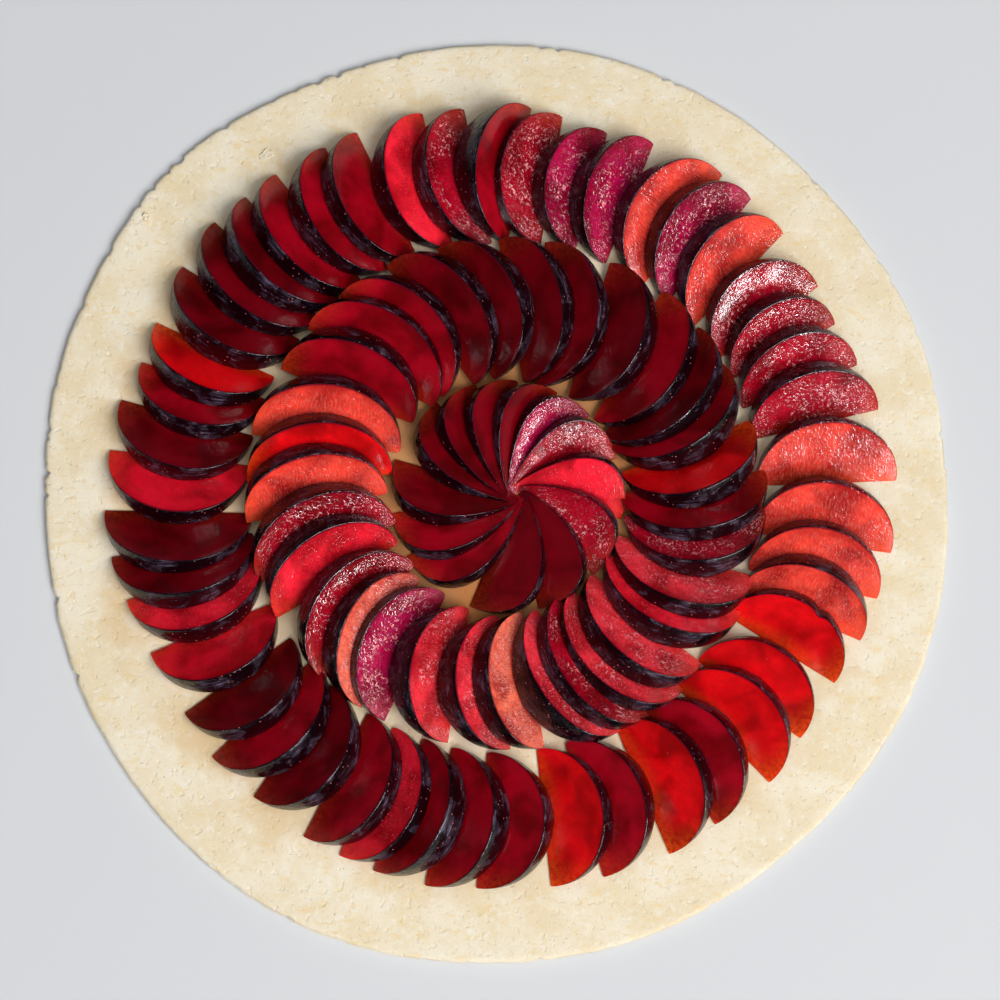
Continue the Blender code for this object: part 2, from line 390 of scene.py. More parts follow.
def dough_material():
    material, tree, shader, spot = new_material("rolled_shortcrust")
    cloud = noise_field(tree, spot, scale=62, detail=3, rough=0.55).between(0.35, 0.68)
    colour = blended(tree, cloud, FLOURY, CREAMY)
    drawn = stretched(tree, spot, (1.0, 2.2, 1.0), 0.9)
    butter = noise_field(tree, drawn, scale=170, detail=3, rough=0.6, twist=0.6)
    colour = blended(tree, butter.between(0.54, 0.70) * BUTTER_SHARE, colour, BUTTER)
    flour = noise_field(tree, spot, scale=420, detail=3, rough=0.65).between(0.52, 0.72)
    colour = blended(tree, flour * FLOUR_SHARE, colour, FLOUR)
    shade = noise_field(tree, spot, scale=900, rough=0.6)
    colour = blended(tree, SHADE_SHARE * shade.between(0.42, 0.28), colour, DOUGH_SHADE)
    speck = node_field(tree, "ShaderNodeTexVoronoi", {"Vector": spot, "Scale": 260.0})
    patch = noise_field(tree, spot, scale=90, detail=1).between(0.52, 0.62)
    colour = blended(tree, (1 - speck.between(0.05, 0.09)) * patch * BRAN_SHARE, colour, BRAN)
    x, y = parted(tree, spot, "XY")
    from_middle = (x * x + y * y).calculate("SQRT") + SHADE_WANDER * cloud
    # Painted shade with reddish bounce light in the dough's middle, between and under the plums.
    colour = blended(tree, from_middle.between(*GAP_SHADE_REACH), colour, PAINTED_GAP_SHADE)
    # Painted shadow beside the plums, full on the left, away from the light.
    painted_shadow = from_middle.between(*PAINTED_SHADOW_REACH) * x.between(0, PAINTED_SHADOW_FULL_AT).at_least(RIGHT_PAINTED_SHADOW)
    painted_shadow = painted_shadow * noise_field(tree, spot, scale=26).between(0.30, 0.60)
    colour = blended(tree, painted_shadow * PAINTED_SHADOW_SHARE, colour, PAINTED_SHADOW_TAN)
    grain = noise_field(tree, spot, scale=1300, detail=3, rough=0.6)
    pits = noise_field(tree, spot, scale=330).between(0.30, 0.42)
    height = grain * GRAIN_SHARE + pits * (1 - GRAIN_SHARE)
    set_shader(
        shader,
        Base_Color=colour,
        Roughness=0.8,
        Specular_IOR_Level=0.1,
        Normal=bumped(tree, height, 0.3 * MM, 0.8),
    )
    return material


dough = add_piece("dough_disc_rolled", dough_mesh())
dough.data.materials.append(dough_material())
place_piece(dough, "raw_dough", "dough_disc")

# --------------------------------------------------
# The outer ring: 46 wedges of dark plum, each cut with a knife beside the stone of a half plum, skin left on.
# They are laid clockwise like roof tiles, each on its thin inner edge and leaning on the one before it.
# --------------------------------------------------

CLOCKWISE = -1
ANTICLOCKWISE = 1
PLUM_RADIUS = 25.8 * MM
PLUM_DEPTH = 28.4 * MM
CORE_WIDTH = 1.6 * MM
CORE_SHARE = 0.99
TIP_WIDTH = 0.9 * MM
INNER_CORE_SHARE = 0.96
INNER_TIP_WIDTH = 2.0 * MM
INNER_POWER = 1.08
WEDGE_ANGLE = math.radians(27)
WEDGE_SPREAD = math.radians(2.6)
SHORTEST_BY = 1.6 * MM
SHALLOWEST_BY = 1.5 * MM
THINNEST_CUT = 0.012
TIP_CLEARANCE = 0.05 * MM
OUTLINE_POWER = 0.92
CONTACT_GAP = 0.3 * MM
TOUCHING = 0.06 * MM
SETTLED = 0.18 * MM
SAG = 0.8
STEEPEST_REST = math.radians(16.5)
REST_ROUNDS = 6
# Steps from one slice to the next, against an even step. The slices not named below lie neatly.
NEAT_STEP = 0.95
NEAT_SPREAD = 0.04
UNEVEN_STEPS = {"close": 0.76, "wide": 1.22, "gap": 1.38}
RING_LEAN_SPREAD = math.radians(3.2)
RING_RADIUS_SPREAD = 0.5 * MM
SHIFT_SHARE = 0.4
# The rings lie apart in one direction, on the near side.
OPEN_DIRECTION = math.radians(-102)
OPEN_HALF_WIDTH = math.radians(31)
# Laps and rises: how far the slices' inner and outer ends reach over the next ring, and rise there.
# Smaller: direction in degrees, how far the ring's edge goes in, in mm, and half width in degrees.
# Pairs: how many neighbouring pairs are one piece each. Rests on: how many earlier slices each lies on.
OUTER_RING = {
    "name": "outer",
    "centre": Vector((1.1 * MM, 0.2 * MM, 0)),
    "slices": 46,
    "laid": CLOCKWISE,
    "first": math.radians(101.0),
    "radius": 121.0 * MM,
    "lean": math.radians(1.5),
    "close": (2, 6, 9, 15, 26, 27, 33, 34, 38, 41, 42, 44),
    "wide": (8, 19, 28, 31, 32, 35, 39, 45),
    "gap": (5, 12, 13, 17, 21, 23),
    "laps": (2.6 * MM, 0),
    "rises": (0, 0),
    "smaller": ((-34, -6.0, 18), (24, -6.0, 13), (72, -4.0, 8), (155, -4.5, 10), (-152, -4.5, 16)),
    "pairs": 23,
    "rests_on": 1,
    "seed": 21,
    "dent_seed": 100,
}
# The flesh's colour, and from 0 to 1 how pale and fibrous it is, how wet, and how far its thin ends get a
# painted glow.
RIPENESS = {
    "wine": ((0.165, 0.0004, 0.0054), 0.05, 0.12, 0.20),
    "claret": ((0.37, 0.0009, 0.012), 0.08, 0.16, 0.35),
    "crimson": ((0.42, 0.0012, 0.020), 0.15, 0.90, 0.35),
    "magenta": ((0.42, 0.0020, 0.072), 0.15, 1.00, 0.10),
    "ruby": ((0.72, 0.0040, 0.024), 0.15, 0.10, 0.35),
    "red": ((0.74, 0.0020, 0.006), 0.10, 0.22, 0.85),
    "scarlet": ((0.92, 0.0120, 0.042), 0.20, 0.45, 0.45),
    "rose": ((0.90, 0.028, 0.062), 0.35, 0.70, 0.35),
    "coral": ((0.84, 0.046, 0.036), 0.45, 0.45, 0.60),
    "pale": ((0.95, 0.140, 0.100), 0.75, 1.00, 0.40),
}
# Each slice's flesh, in the order of laying.
OUTER_FLESH = """
    scarlet crimson claret crimson magenta magenta coral magenta coral crimson crimson crimson crimson
    coral coral coral coral red red red claret red claret red claret claret claret scarlet claret wine
    claret wine ruby scarlet wine wine ruby wine claret red wine wine wine claret claret claret
""".split()
# The cut flesh is deeper and brighter in soft clouds, and mottled darker where it is wet.
DEEPER = (0.52, 0.22, 0.28, 1)
BRIGHTER = (1.22, 1.40, 1.10, 1)
DARKER = (0.70, 0.32, 0.35, 1)
DRY_MOTTLE = 0.16
WET_MOTTLE = 0.54
FIBRE = (0.90, 0.42, 0.30, 1)
FIBRE_SHARE = 0.9
UNDER_SKIN = (0.10, 0.001, 0.010, 1)
UNDER_SKIN_SHARE = 0.92
# A painted glow: orange painted into the colour where light would come through the thin inner edge and the
# outer tip.
PAINTED_GLOW = (0.88, 0.10, 0.008, 1)
EDGE_GLOW = 0.5
TIP_GLOW = 0.8
# The knife left strokes along the flesh: how many along and across it, and how they change over the table.
STROKES_ALONG = 54
STROKES_ACROSS = 15
STROKES_IN_X = 95
STROKES_IN_Y = 140
# Juice stands in the strokes and shines: how high they are, dry and wet, how rough, and the sheen painted on
# them.
DRY_STROKE = 0.05
WET_STROKE = 2.4
RIDGE = 0.5
DRY_ROUGHNESS = 0.22
WET_SHINE = 0.13
PAINTED_SHEEN = (1.0, 0.38, 0.40, 1)
PAINTED_SHEEN_SHARE = 0.85
RED_SCATTER = (1.0, 0.15, 0.12)
SCATTER_DEPTH = 2.2 * MM
SKIN_BLACK = (0.003, 0.0004, 0.0016, 1)
SKIN_BLOOM = (0.018, 0.007, 0.018, 1)
SKIN_BLOOM_AND_HIGHLIGHT = (0.40, 0.33, 0.50, 1)
SKIN_DOT = (0.45, 0.15, 0.15, 1)
BLOOM_SHARE = 0.6
NICKED_SLICE = 17
NICK_DEPTH = 1.5 * MM
NICK_TURN = 1.75
NICK_HALF_WIDTH = 0.10
# Unevenness: how fine, and how deep, as a share of the outline and in mm on the cut face and the skin.
OUTLINE_WOBBLE = (1.6, 0.018)
FACE_DENTS = ((90.0, 0.45), (330.0, 0.16))
SKIN_DENTS = (140.0, 0.25)
# The dents of a face fade towards the skin over a ninth of it, and its ends rise over its last third.
DENT_FADE = 9.0
INNER_THIRD = (0.34, 0.0)
OUTER_THIRD = (0.66, 1.0)
# The unit slice: rows of points across the skin and the cut face, and columns round the half moon. Near the
# tips they stand closer, at the turns named, and a smaller cap closes each tip round its middle.
SKIN_ROWS = 12
FACE_ROWS = 26
TEMPLATE_COLUMNS = 60
TIP_TURNS = (0.03, 0.07, 0.12, 0.18)
OPEN_TURN = 0.24
CAP_TURN = 0.012
CAP_SHARE = 0.7
MIDDLE = 0.5


class Slice:
    """One wedge: its core runs from tip to tip, and its cut faces fan out from the core to the skin."""

    def __init__(self, centre, heading, skin_side, half_length, width, wedge):
        self.centre = centre
        self.heading = heading
        self.skin_side = skin_side
        self.half_length = half_length
        self.width = width
        self.wedge = wedge
        self.rest = 0
        self.inner_tip_width = INNER_TIP_WIDTH
        self.inner_core_share = INNER_CORE_SHARE
        self.inner_power = INNER_POWER
        self.pinch = 0
        self.nick = 0
        self.rises = (0, 0)

    def place(self):
        """Its own frame: X along the core, Y towards the skin, Z up, the thin edge just above the dough."""
        along = Vector((math.cos(self.heading), math.sin(self.heading), 0))
        to_skin = Vector((-along.y, along.x, 0)) * self.skin_side
        lowest = CORE_WIDTH * math.sin(self.rest)
        height = DOUGH_THICKNESS + CONTACT_GAP - lowest
        own = Matrix((along, to_skin, Vector((0, 0, 1)))).transposed().to_4x4()
        return Matrix.Translation(self.centre + Vector((0, 0, height))) @ own

    def plane_under(self, below, gap):
        """The cut face of a slice laid before this one, in this slice's frame: its normal and its height."""
        own, other = self.place(), below.place()
        tilt = below.rest + below.wedge
        up = other.to_3x3() @ Vector((0, -math.sin(tilt), math.cos(tilt)))
        height = up.dot(other.translation - own.translation) + gap
        return own.to_3x3().transposed() @ up, height


def steps_round(ring, rng):
    """The angle from each slice of a ring to the next, uneven as laid by hand, adding up to one turn."""
    weights = []
    for i in range(ring["slices"]):
        weight = NEAT_STEP + rng.uniform(-NEAT_SPREAD, NEAT_SPREAD)
        for kind, step in UNEVEN_STEPS.items():
            if i in ring[kind]:
                weight = step
        weights.append(weight)
    return [math.tau * weight / sum(weights) for weight in weights]


def settle(slices, arcs):
    """Leans each slice on the cut face of the one before it: the closer they lie, the steeper they stand."""
    for _ in range(REST_ROUNDS):
        for i, piece in enumerate(slices):
            below = slices[i - 1]
            overlap = max(0, piece.width - arcs[i - 1])
            support = overlap * math.tan(below.rest + below.wedge)
            piece.rest = min(SAG * math.atan(support / piece.width), STEEPEST_REST)


def ring_slices(ring):
    rng = random.Random(ring["seed"])
    steps = steps_round(ring, rng)
    angle = ring["first"]
    slices = []
    for step in steps:
        inward = pushed_out(angle, ring["smaller"])
        radius = ring["radius"] + rng.uniform(-RING_RADIUS_SPREAD, RING_RADIUS_SPREAD) + SHIFT_SHARE * inward
        centre = ring["centre"] + Vector((radius * math.cos(angle), radius * math.sin(angle), 0))
        heading = angle + rng.gauss(ring["lean"], RING_LEAN_SPREAD)
        length = PLUM_RADIUS - rng.uniform(0, SHORTEST_BY) + (1 - SHIFT_SHARE) * inward
        width = PLUM_DEPTH - rng.uniform(0, SHALLOWEST_BY) + (1 - SHIFT_SHARE) * inward
        wedge = rng.gauss(WEDGE_ANGLE, WEDGE_SPREAD)
        share = 1 - math.exp(-((angle_between(angle, OPEN_DIRECTION) / OPEN_HALF_WIDTH) ** 2))
        inner_lap, outer_lap = [lap * share for lap in ring["laps"]]
        centre += Vector((math.cos(heading), math.sin(heading), 0)) * (outer_lap - inner_lap) / 2
        length += (outer_lap + inner_lap) / 2
        slices.append(Slice(centre, heading, -ring["laid"], length, width, wedge))
        slices[-1].rises = ring["rises"]
        angle += ring["laid"] * step
    settle(slices, [step * ring["radius"] for step in steps])
    return slices


def section_rows():
    """The outline across a unit slice: out from core to skin, lift from face to face, and if it is skin."""
    rows = [(out, 0.0, False) for out in (0.0, 0.1, 0.35, 0.65, 0.9, 0.985)]
    rows += [(0.996, 0.01, True)]
    rows += [(1.0, 0.03 + 0.94 * i / SKIN_ROWS, True) for i in range(SKIN_ROWS + 1)]
    rows += [(0.9975, 0.992, True), (0.988, 1.0, False)]
    rows += [(0.975 - 0.955 * (i / FACE_ROWS), 1.0, False) for i in range(FACE_ROWS + 1)]
    rows += [(0.0, 0.97, False), (-0.006, 0.75, False), (-0.008, 0.5, False), (-0.006, 0.25, False)]
    return rows


def slice_template():
    """A closed unit slice. Each point holds its turn round the half moon, its way out, and its lift."""
    rows = section_rows()
    even = TEMPLATE_COLUMNS - 2 * len(TIP_TURNS)
    inner = [OPEN_TURN + (math.pi - 2 * OPEN_TURN) * i / (even - 1) for i in range(even)]
    turns = [*TIP_TURNS, *inner, *[math.pi - turn for turn in reversed(TIP_TURNS)]]
    bm = bmesh.new()
    turn_layer = bm.verts.layers.float.new("turn")
    out_layer = bm.verts.layers.float.new("out")
    lift_layer = bm.verts.layers.float.new("lift")
    skin_layer = bm.faces.layers.int.new("skin_face")
    uv_layer = bm.loops.layers.uv.new("UVMap")

    def point(turn, out, lift):
        corner = bm.verts.new((turn, out, lift))
        corner[turn_layer], corner[out_layer], corner[lift_layer] = turn, out, lift
        return corner

    columns = [[point(turn, out, lift) for out, lift, _ in rows] for turn in turns]
    caps = []
    for turn in (CAP_TURN, math.pi - CAP_TURN):
        nearer = [[MIDDLE + CAP_SHARE * (share - MIDDLE) for share in row[:2]] for row in rows]
        caps.append([point(turn, out, lift) for out, lift in nearer])
    columns = [caps[0], *columns, caps[1]]
    for near, far in zip(columns, columns[1:]):
        for j, (_, _, is_skin) in enumerate(rows):
            k = (j + 1) % len(rows)
            face = bm.faces.new((near[j], near[k], far[k], far[j]))
            face[skin_layer] = is_skin
    for column, turn in ((columns[0], 0.0), (columns[-1], math.pi)):
        pole = point(turn, MIDDLE, MIDDLE)
        for j in range(len(rows)):
            bm.faces.new((column[j - 1], column[j], pole))
    for face in bm.faces:
        for loop in face.loops:
            corner = loop.vert
            across = corner[lift_layer] if face[skin_layer] else corner[out_layer]
            loop[uv_layer].uv = (corner[turn_layer] / math.pi, across)
    return closed_mesh(bm, "slice_template")


def attribute(tree, name, output):
    """A value that the slices carry, by its name."""
    return node_field(tree, "ShaderNodeAttribute", output=output, attribute_name=name)


def flesh_material():
    material, tree, shader, spot = new_material("cut_plum_flesh")
    colour = attribute(tree, "flesh_colour", "Color")
    pale, wet, glow = parted(tree, attribute(tree, "flesh_traits", "Vector"))
    place = node_field(tree, "ShaderNodeUVMap", uv_map="UVMap")
    along, across = parted(tree, place, "XY")
    soft = noise_field(tree, spot, scale=60, twist=0.4).between(0.32, 0.66)
    deep = blended(tree, 1.0, colour, DEEPER, "MULTIPLY")
    bright = blended(tree, 1.0, colour, BRIGHTER, "MULTIPLY")
    colour = blended(tree, soft, deep, bright)
    mottle = noise_field(tree, spot, scale=380, detail=3, rough=0.65).between(0.62, 0.40)
    darker = blended(tree, 1.0, colour, DARKER, "MULTIPLY")
    colour = blended(tree, mottle * (DRY_MOTTLE + WET_MOTTLE * wet), colour, darker)
    drawn = stretched(tree, place, (36.0, 3.0, 1.0))
    fibres = noise_field(tree, drawn, scale=3.0, detail=3, rough=0.6, twist=0.3).between(0.44, 0.68)
    inside = across.between(1.0, 0.72)
    colour = blended(tree, fibres * pale**2 * inside * FIBRE_SHARE, colour, FIBRE)
    colour = blended(tree, across.between(0.94, 0.985) * UNDER_SKIN_SHARE, colour, UNDER_SKIN)
    thin = across.between(0.40, 0.02) * EDGE_GLOW + along.between(0.68, 0.98) * TIP_GLOW
    specks = noise_field(tree, spot, scale=700, rough=0.6).between(0.36, 0.60)
    # Painted glow: orange where light would shine through the thin edge and the tip.
    painted_glow = glow * thin * specks.at_least(0.35)
    colour = blended(tree, painted_glow.calculate("MINIMUM", 1.0), colour, PAINTED_GLOW)
    patches = noise_field(tree, spot, scale=110).between(0.36, 0.62)
    x, y = parted(tree, spot, "XY")
    table_place = x * STROKES_IN_X + y * STROKES_IN_Y
    grain = vector_of(tree, X=along * STROKES_ALONG, Y=across * STROKES_ACROSS, Z=table_place)
    strokes = noise_field(tree, grain, scale=1.0, detail=1.2, twist=1.2)
    beading = wet.between(0.12, 1.0) * patches.at_least(0.3)
    ridges = strokes.between(0.54, 0.64) * beading
    # A pale pink sheen painted into the colour on the wet ridges.
    painted_sheen = ridges.between(0.30, 0.90) * inside
    colour = blended(tree, painted_sheen * PAINTED_SHEEN_SHARE, colour, PAINTED_SHEEN)
    height = strokes * (DRY_STROKE + WET_STROKE * beading) + ridges * RIDGE
    shader.subsurface_method = "BURLEY"
    set_shader(
        shader,
        Base_Color=colour,
        Roughness=DRY_ROUGHNESS - WET_SHINE * beading,
        Specular_IOR_Level=0.45,
        Subsurface_Weight=0.6,
        Subsurface_Radius=RED_SCATTER,
        Subsurface_Scale=SCATTER_DEPTH,
        Normal=bumped(tree, height, 0.2 * MM, 1.0),
    )
    return material


def skin_material():
    material, tree, shader, spot = new_material("dark_plum_skin")
    bloom = noise_field(tree, spot, scale=120, detail=4, rough=0.6, twist=0.5).between(0.46, 0.72)
    colour = blended(tree, bloom * BLOOM_SHARE, SKIN_BLACK, SKIN_BLOOM)
    drawn = stretched(tree, node_field(tree, "ShaderNodeUVMap", uv_map="UVMap"), (1.0, 2.6, 1.0))
    # Lilac-grey streaks along the skin: partly its wax bloom, partly painted highlights.
    bloom_and_highlight_streaks = noise_field(tree, drawn, scale=9.0, detail=3, rough=0.6, twist=0.6).between(0.50, 0.66)
    colour = blended(tree, bloom_and_highlight_streaks * bloom * BLOOM_SHARE, colour, SKIN_BLOOM_AND_HIGHLIGHT)
    dots = node_field(tree, "ShaderNodeTexVoronoi", {"Vector": spot, "Scale": 400.0})
    colour = blended(tree, 1 - dots.between(0.08, 0.14), colour, SKIN_DOT)
    height = noise_field(tree, spot, scale=380, detail=3, rough=0.55)
    set_shader(
        shader,
        Base_Color=colour,
        Roughness=0.20 + 0.25 * bloom,
        Specular_IOR_Level=0.4,
        Normal=bumped(tree, height, 0.6 * MM, 0.8),
    )
    return material


# The slices laid before that a slice may rest on, counted back from it.
RESTS = (1, 2, 3)
SLICE_SIZES = (
    "Half Length",
    "Width",
    "Core Width",
    "Inner Core Share",
    "Core Share",
    "Inner Tip Width",
    "Tip Width",
    "Inner Power",
    "Outline Power",
    "Nick Depth",
    "Inner Rise",
    "Outer Rise",
    "Pinch",
    "Rest Angle",
    "Wedge Angle",
)
SLICE_INPUTS = {
    **dict.fromkeys(SLICE_SIZES, "Float"),
    **{f"Rests On {number}": "Vector" for number in RESTS},
    **{f"Height {number}": "Float" for number in RESTS},
    "Seed": "Float",
    "Flesh Colour": "Color",
    "Flesh Traits": "Vector",
}


def new_shaping(name, inputs):
    """A Geometry Nodes tree, and what it is given: the geometry and its named inputs."""
    tree = bpy.data.node_groups.new(name, "GeometryNodeTree")
    tree.interface.new_socket("Geometry", in_out="INPUT", socket_type="NodeSocketGeometry")
    for label, kind in inputs.items():
        tree.interface.new_socket(label, in_out="INPUT", socket_type="NodeSocket" + kind)
    tree.interface.new_socket("Geometry", in_out="OUTPUT", socket_type="NodeSocketGeometry")
    given = tree.nodes.new("NodeGroupInput")
    return tree, {label: Field(tree, given.outputs[label]) for label in ("Geometry", *inputs)}


def finish_shaping(tree, geometry, finish):
    """The last nodes of every tree but its output: smooth, realized, and in one finish."""
    smooth = node_field(tree, "GeometryNodeSetShadeSmooth", {"Geometry": geometry})
    whole = node_field(tree, "GeometryNodeRealizeInstances", {"Geometry": smooth})
    return node_field(tree, "GeometryNodeSetMaterial", {"Geometry": whole, "Material": finish})


def put_out(tree, geometry):
    """Makes the geometry what the tree gives."""
    ending = tree.nodes.new("NodeGroupOutput")
    tree.links.new(geometry.socket, ending.inputs["Geometry"])


def carried(tree, name, kind="FLOAT"):
    """A value that the mesh carries, by its name."""
    return node_field(tree, "GeometryNodeInputNamedAttribute", {"Name": name}, data_type=kind)


def slice_tree(flesh, skin):
    """Shapes the unit slice by its named sizes, down to the cut faces it rests on, and roughens it."""
    tree, size = new_shaping("plum_slice", SLICE_INPUTS)

    def rough(spot, fineness, depth):
        values = {"Vector": spot, "W": size["Seed"], "Scale": fineness, "Detail": 2.0}
        return node_field(tree, "ShaderNodeTexNoise", values, noise_dimensions="4D") * depth

    turn, out, lift = [carried(tree, name) for name in ("turn", "out", "lift")]
    core = size["Core Width"]
    cosine = turn.calculate("COSINE")
    outward = 0.5 - 0.5 * cosine

    def between(name, inner_name):
        return size[inner_name] + (size[name] - size[inner_name]) * outward

    tip = core + between("Tip Width", "Inner Tip Width")
    wobble = 1 - rough(vector_of(tree, X=turn), *OUTLINE_WOBBLE)
    sine = turn.calculate("SINE").calculate("MAXIMUM", 0.0)
    swell = (sine ** between("Outline Power", "Inner Power")) * (1 - size["Pinch"] * cosine)
    nick = (turn - NICK_TURN) / NICK_HALF_WIDTH
    notch = (nick * nick * -1).calculate("EXPONENT")
    reach = (tip + (size["Width"] - tip) * swell) * wobble - size["Nick Depth"] * notch
    radial = core + (reach - core) * out
    rounded = (out * (2 - out)).calculate("MAXIMUM", 0.0).calculate("SQRT")
    core_share = between("Core Share", "Inner Core Share")
    core_share = core_share + (1 - core_share) * rounded
    along = size["Half Length"] * cosine * core_share * -1
    lowest = size["Rest Angle"]
    for number in RESTS:
        normal, side, up = parted(tree, size[f"Rests On {number}"])
        above = normal * along - size[f"Height {number}"]
        steep = (side * side + up * up).calculate("SQRT")
        ratio = (above * -1) / (radial * steep)
        ratio = ratio.calculate("MAXIMUM", -1.0).calculate("MINIMUM", 1.0)
        tilt = ratio.calculate("ARCSINE") - side.calculate("ARCTAN2", up)
        lowest = lowest.calculate("MAXIMUM", tilt)
    top = size["Rest Angle"] + size["Wedge Angle"]
    lowest = lowest.calculate("MINIMUM", top - THINNEST_CUT)
    tilt = lowest + (top - lowest) * lift
    spot = vector_of(
        tree, X=along, Y=radial * tilt.calculate("COSINE"), Z=radial * tilt.calculate("SINE")
    )
    inside = ((1 - out) * DENT_FADE).calculate("MINIMUM", 1.0)
    broad, fine = [rough(spot, *dents) for dents in FACE_DENTS]
    dents = (broad + fine) * MM
    skin_dents = rough(spot, *SKIN_DENTS) * MM * (1 - lift)
    rise = size["Inner Rise"] * outward.between(*INNER_THIRD)
    rise = rise + size["Outer Rise"] * outward.between(*OUTER_THIRD)
    offset = vector_of(tree, Y=skin_dents * out * -1, Z=rise - dents * lift * inside)
    values = {"Geometry": size["Geometry"], "Position": spot, "Offset": offset}
    shaped = node_field(tree, "GeometryNodeSetPosition", values)
    for name, kind, value in (
        ("flesh_colour", "FLOAT_COLOR", size["Flesh Colour"]),
        ("flesh_traits", "FLOAT_VECTOR", size["Flesh Traits"]),
    ):
        values = {"Geometry": shaped, "Name": name, "Value": value}
        shaped = node_field(tree, "GeometryNodeStoreNamedAttribute", values, data_type=kind)
    shaped = finish_shaping(tree, shaped, flesh)
    values = {"Geometry": shaped, "Selection": carried(tree, "skin_face", "INT"), "Material": skin}
    put_out(tree, node_field(tree, "GeometryNodeSetMaterial", values))
    return tree


unit_slice = slice_template()
plum_slice = slice_tree(flesh_material(), skin_material())


def shaped_mesh(name, ground, tree, values):
    """The plain mesh that a tree makes of the ground mesh, with these values in its named inputs."""
    shaping = add_piece(name + "_shaping", ground)
    modifier = shaping.modifiers.new(name, "NODES")
    modifier.node_group = tree
    for item in tree.interface.items_tree:
        if item.name in values:
            modifier[item.identifier] = values[item.name]
    graph = bpy.context.evaluated_depsgraph_get()
    mesh = bpy.data.meshes.new_from_object(shaping.evaluated_get(graph), depsgraph=graph)
    bpy.data.objects.remove(shaping)
    return mesh


def slice_mesh(slices, i, rests_on, ripeness, seed):
    """The mesh of slice i, in its place among the slices laid before it."""
    piece = slices[i]
    colour, pale, wet, glow = RIPENESS[ripeness]
    values = {
        "Half Length": piece.half_length - TIP_CLEARANCE,
        "Width": piece.width,
        "Core Width": CORE_WIDTH,
        "Inner Core Share": piece.inner_core_share,
        "Core Share": CORE_SHARE,
        "Inner Tip Width": piece.inner_tip_width,
        "Tip Width": TIP_WIDTH,
        "Inner Power": piece.inner_power,
        "Outline Power": OUTLINE_POWER,
        "Nick Depth": piece.nick,
        "Inner Rise": piece.rises[0],
        "Outer Rise": piece.rises[1],
        "Pinch": piece.pinch,
        "Rest Angle": piece.rest,
        "Wedge Angle": piece.wedge,
        "Seed": float(seed),
        "Flesh Colour": (*colour, 1.0),
        "Flesh Traits": (pale, wet, glow),
    }
    for number in RESTS:
        normal, height = piece.plane_under(slices[i - min(number, rests_on)], TOUCHING)
        values[f"Rests On {number}"] = normal
        values[f"Height {number}"] = height
    mesh = shaped_mesh("slice", unit_slice, plum_slice, values)
    frame_of_slice = piece.place()
    mesh.transform(Matrix.Translation((0, 0, -SETTLED)) @ frame_of_slice)
    if frame_of_slice.determinant() < 0:
        mesh.flip_normals()
    return mesh


def joined(meshes, name):
    """One mesh of several with the same materials."""
    bm = bmesh.new()
    for mesh in meshes:
        bm.from_mesh(mesh)
    whole = bpy.data.meshes.new(name)
    for material in meshes[0].materials:
        whole.materials.append(material)
    bm.to_mesh(whole)
    bm.free()
    for mesh in meshes:
        bpy.data.meshes.remove(mesh)
    return whole


def lay_slices(ring, slices, flesh):
    """Makes each slice of a ring, and joins the first pairs of neighbours as their CAD nodes are."""
    meshes = [
        slice_mesh(slices, i, ring["rests_on"], ripeness, ring["dent_seed"] + i)
        for i, ripeness in enumerate(flesh)
    ]
    paired = 2 * ring["pairs"]
    groups = [(i, i + 1) for i in range(0, paired, 2)] + [(i,) for i in range(paired, len(slices))]
    for group in groups:
        node = "slice_" + ring["name"] + "".join(f"_{i + 1:02d}" for i in group)
        piece = add_piece("plum_" + node, joined([meshes[i] for i in group], "plum_" + node))
        place_piece(piece, "cut_plum", node)


outer_slices = ring_slices(OUTER_RING)
outer_slices[NICKED_SLICE].nick = NICK_DEPTH
lay_slices(OUTER_RING, outer_slices, OUTER_FLESH)

# --------------------------------------------------
# The middle ring: 31 wedges of the same plums, laid anticlockwise, so that they lean the other way from the
# outer ring's. They lie more askew than the outer ones, their outer tips turned along the ring.
# --------------------------------------------------

MIDDLE_RING = {
    "name": "middle",
    "centre": Vector((1.5 * MM, -1.8 * MM, 0)),
    "slices": 31,
    "laid": ANTICLOCKWISE,
    "first": math.radians(-152.2),
    "radius": 68.2 * MM,
    "lean": math.radians(6),
    "close": (1, 2, 5, 7, 8, 9, 11, 13, 16, 20, 24, 28, 30),
    "wide": (3, 4, 6, 10, 12, 15, 18, 21, 23, 29),
    "gap": (0, 19, 26),
    "laps": (1.3 * MM, 2.6 * MM),
    "rises": (2.4 * MM, 3.2 * MM),
    "smaller": (),
    "pairs": 8,
    "rests_on": 1,
    "seed": 22,
    "dent_seed": 200,
}
MIDDLE_FLESH = """
    scarlet crimson pale magenta rose rose pale rose crimson rose rose scarlet rose crimson claret red
    claret wine claret wine wine wine wine wine claret claret claret coral red coral crimson
""".split()
lay_slices(MIDDLE_RING, ring_slices(MIDDLE_RING), MIDDLE_FLESH)

# --------------------------------------------------
# The rosette: thirteen shorter wedges in the middle, laid clockwise from one point just off the centre.
# Each overlaps the last three, so that only a curved blade of it shows.
# --------------------------------------------------

